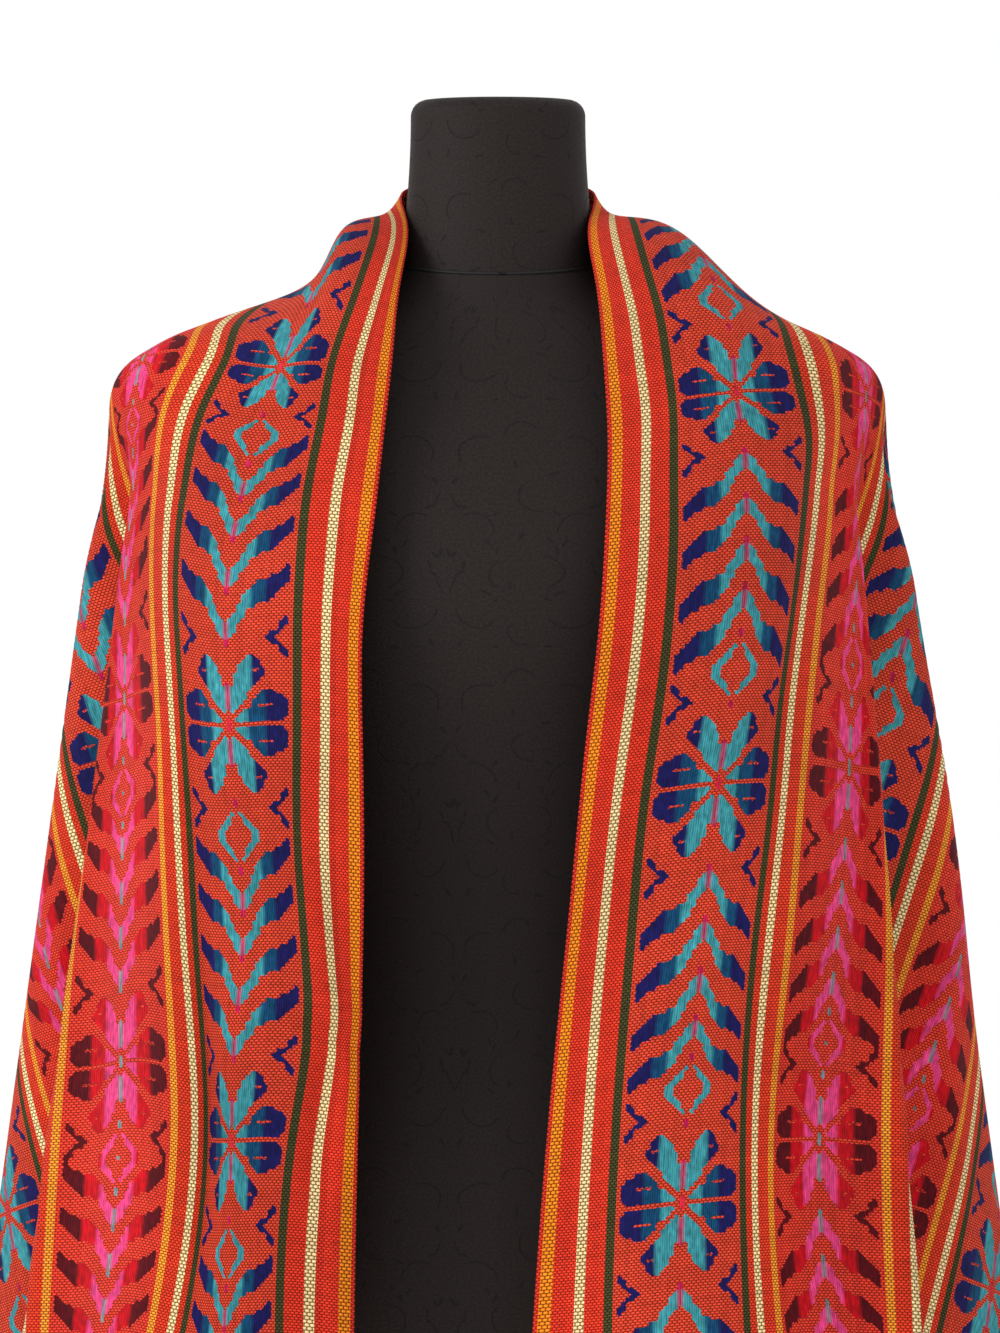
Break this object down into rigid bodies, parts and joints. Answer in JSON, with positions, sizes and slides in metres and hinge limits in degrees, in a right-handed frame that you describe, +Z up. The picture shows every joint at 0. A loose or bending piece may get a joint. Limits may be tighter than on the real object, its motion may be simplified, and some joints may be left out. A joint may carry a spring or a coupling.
{
  "type": "rebozo shawl on dress form",
  "caption": "Long woven rebozo shawl worn over the shoulders of a limbless dress form on a round stand, with both fringed ends hanging down in front.",
  "frame": {"origin": "centre of the stand's underside, on the floor", "axes": "+Z up, the front faces -Y, the wearer's left is at +X"},
  "size_m": [0.6927, 0.41, 1.545],
  "materials": {
    "shawl_cloth": "matt coarse weave, orange red with bands of chevrons and flowers",
    "fringe_yarn": "matt twisted yarn",
    "form_cover": "black damask with low sheen scrolls",
    "stand_metal": "satin black paint"
  },
  "bodies": {
    "root": {"shawl_back": "shawl_cloth", "shawl_left_front": "shawl_cloth", "shawl_right_front": "shawl_cloth", "fringe_left": "fringe_yarn", "fringe_right": "fringe_yarn", "form_torso": "form_cover", "form_neck": "form_cover", "form_pole": "stand_metal", "form_base": "stand_metal"}
  },
  "joints": []
}
